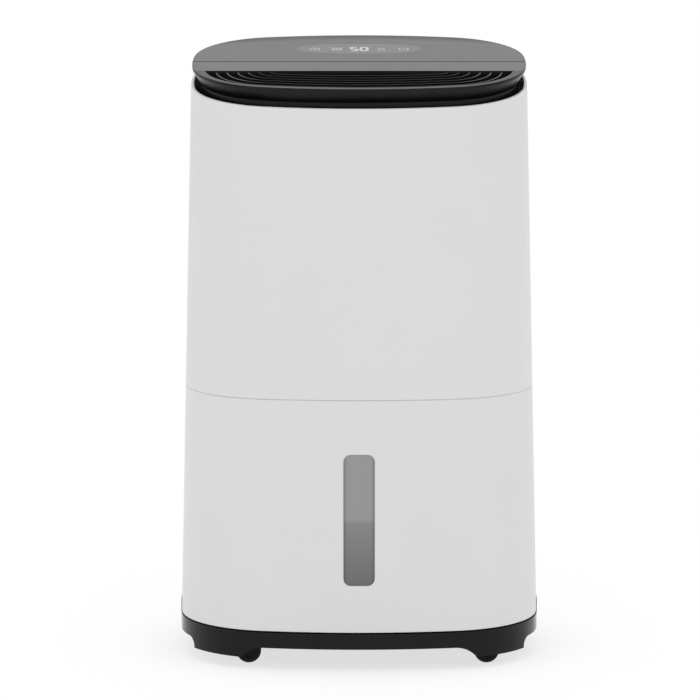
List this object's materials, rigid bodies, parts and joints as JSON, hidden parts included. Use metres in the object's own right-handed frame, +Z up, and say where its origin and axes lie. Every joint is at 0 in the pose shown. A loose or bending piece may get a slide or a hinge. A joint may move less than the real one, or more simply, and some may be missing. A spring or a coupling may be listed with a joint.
{
  "type": "dehumidifier",
  "caption": "Upright white room dehumidifier with rounded oval body, sloped dark deck with nested outlet fins, pull-out water tank with level window, and castors.",
  "frame": {"origin": "on the floor under the middle of the body", "axes": "+Z up, the front with the tank faces -Y, +X to the right seen from the front"},
  "size_m": [0.346, 0.24, 0.5859],
  "materials": {
    "shell_white": "white satin moulded plastic",
    "base_black": "black satin moulded plastic",
    "deck_charcoal": "charcoal fine satin",
    "deck_black": "black satin moulded plastic",
    "window_smoke": "smoke grey smooth",
    "tub_clear": "natural translucent",
    "float_white": "white foam",
    "frame_grey": "grey moulded plastic",
    "fan_black": "black moulded plastic",
    "motor_steel": "zinc plated",
    "fastener_steel": "zinc plated",
    "shaft_steel": "ground",
    "coil_aluminium": "bare fins",
    "compressor_black": "black paint",
    "grommet_rubber": "soft",
    "pipe_copper": "drawn copper tube",
    "board_green": "coated board",
    "sensor_black": "moulded",
    "filter_plastic": "moulded",
    "filter_net": "fine net",
    "fitting_black": "moulded",
    "plug_rubber": "soft white",
    "fork_black": "moulded",
    "wheel_black": "matte tread"
  },
  "bodies": {
    "chassis": {"rear_cover": "shell_white", "front_cover": "shell_white", "base_tray": "base_black", "control_panel": "deck_charcoal", "top_cover": "deck_black", "outlet_grille": "deck_black", "bulkhead": "frame_grey", "mid_deck": "frame_grey", "fan_plate": "frame_grey", "fan_scroll": "frame_grey", "drip_tray": "frame_grey", "control_box": "frame_grey", "fan_motor": "motor_steel", "motor_screws": "fastener_steel", "cover_screws": "fastener_steel", "compressor_studs": "fastener_steel", "evaporator": "coil_aluminium", "condenser": "coil_aluminium", "run_capacitor": "coil_aluminium", "compressor": "compressor_black", "accumulator": "compressor_black", "compressor_grommets": "grommet_rubber", "suction_pipe": "pipe_copper", "discharge_pipe": "pipe_copper", "liquid_line": "pipe_copper", "main_board": "board_green", "display_board": "board_green", "level_sensor": "sensor_black", "humidity_sensor": "sensor_black", "drain_outlet": "fitting_black", "cord_gland": "fitting_black"},
    "tank": {"tank_front": "shell_white", "level_window": "window_smoke", "tank_tub": "tub_clear", "tank_lid": "tub_clear"},
    "handle": {"tank_handle": "tub_clear"},
    "float": {"tank_float": "float_white"},
    "grille": {"inlet_grille": "shell_white", "filter_frame": "filter_plastic", "filter_mesh": "filter_net"},
    "blower": {"blower_wheel": "fan_black", "motor_shaft": "shaft_steel"},
    "plug": {"drain_plug": "plug_rubber"},
    "swivel_front_left": {"castor_fork_front_left": "fork_black"},
    "wheels_front_left": {"castor_wheels_front_left": "wheel_black", "castor_axle_front_left": "shaft_steel"},
    "swivel_front_right": {"castor_fork_front_right": "fork_black"},
    "wheels_front_right": {"castor_wheels_front_right": "wheel_black", "castor_axle_front_right": "shaft_steel"},
    "swivel_rear_left": {"castor_fork_rear_left": "fork_black"},
    "wheels_rear_left": {"castor_wheels_rear_left": "wheel_black", "castor_axle_rear_left": "shaft_steel"},
    "swivel_rear_right": {"castor_fork_rear_right": "fork_black"},
    "wheels_rear_right": {"castor_wheels_rear_right": "wheel_black", "castor_axle_rear_right": "shaft_steel"}
  },
  "joints": [
    {"name": "tank_slide", "type": "slide", "parent": "chassis", "child": "tank", "axis": [0, -1, 0], "range_m": [0, 0.16]},
    {"name": "handle_lift", "type": "hinge", "parent": "tank", "child": "handle", "pos_m": [0, -0.034, 0.2506], "axis": [-1, 0, 0], "range_deg": [0, 90]},
    {"name": "float_rise", "type": "hinge", "parent": "tank", "child": "float", "pos_m": [0.084, -0.0142, 0.196], "axis": [0, -1, 0], "range_deg": [0, 14]},
    {"name": "grille_pull", "type": "slide", "parent": "chassis", "child": "grille", "axis": [0, 1, 0], "range_m": [0, 0.06]},
    {"name": "blower_spin", "type": "hinge", "parent": "chassis", "child": "blower", "pos_m": [0, 0, 0.405], "axis": [0, 1, 0], "continuous": true},
    {"name": "plug_pull", "type": "slide", "parent": "chassis", "child": "plug", "axis": [0, 1, 0], "range_m": [0, 0.03]},
    {"name": "swivel_turn_front_left", "type": "hinge", "parent": "chassis", "child": "swivel_front_left", "pos_m": [-0.114, -0.07, 0.03], "axis": [0, 0, 1], "continuous": true},
    {"name": "wheels_roll_front_left", "type": "hinge", "parent": "swivel_front_left", "child": "wheels_front_left", "pos_m": [-0.1058, -0.07, 0.0118], "axis": [0, 1, 0], "continuous": true},
    {"name": "swivel_turn_front_right", "type": "hinge", "parent": "chassis", "child": "swivel_front_right", "pos_m": [0.114, -0.07, 0.03], "axis": [0, 0, 1], "continuous": true},
    {"name": "wheels_roll_front_right", "type": "hinge", "parent": "swivel_front_right", "child": "wheels_front_right", "pos_m": [0.1222, -0.07, 0.0118], "axis": [0, 1, 0], "continuous": true},
    {"name": "swivel_turn_rear_left", "type": "hinge", "parent": "chassis", "child": "swivel_rear_left", "pos_m": [-0.114, 0.07, 0.03], "axis": [0, 0, 1], "continuous": true},
    {"name": "wheels_roll_rear_left", "type": "hinge", "parent": "swivel_rear_left", "child": "wheels_rear_left", "pos_m": [-0.1058, 0.07, 0.0118], "axis": [0, 1, 0], "continuous": true},
    {"name": "swivel_turn_rear_right", "type": "hinge", "parent": "chassis", "child": "swivel_rear_right", "pos_m": [0.114, 0.07, 0.03], "axis": [0, 0, 1], "continuous": true},
    {"name": "wheels_roll_rear_right", "type": "hinge", "parent": "swivel_rear_right", "child": "wheels_rear_right", "pos_m": [0.1222, 0.07, 0.0118], "axis": [0, 1, 0], "continuous": true}
  ]
}
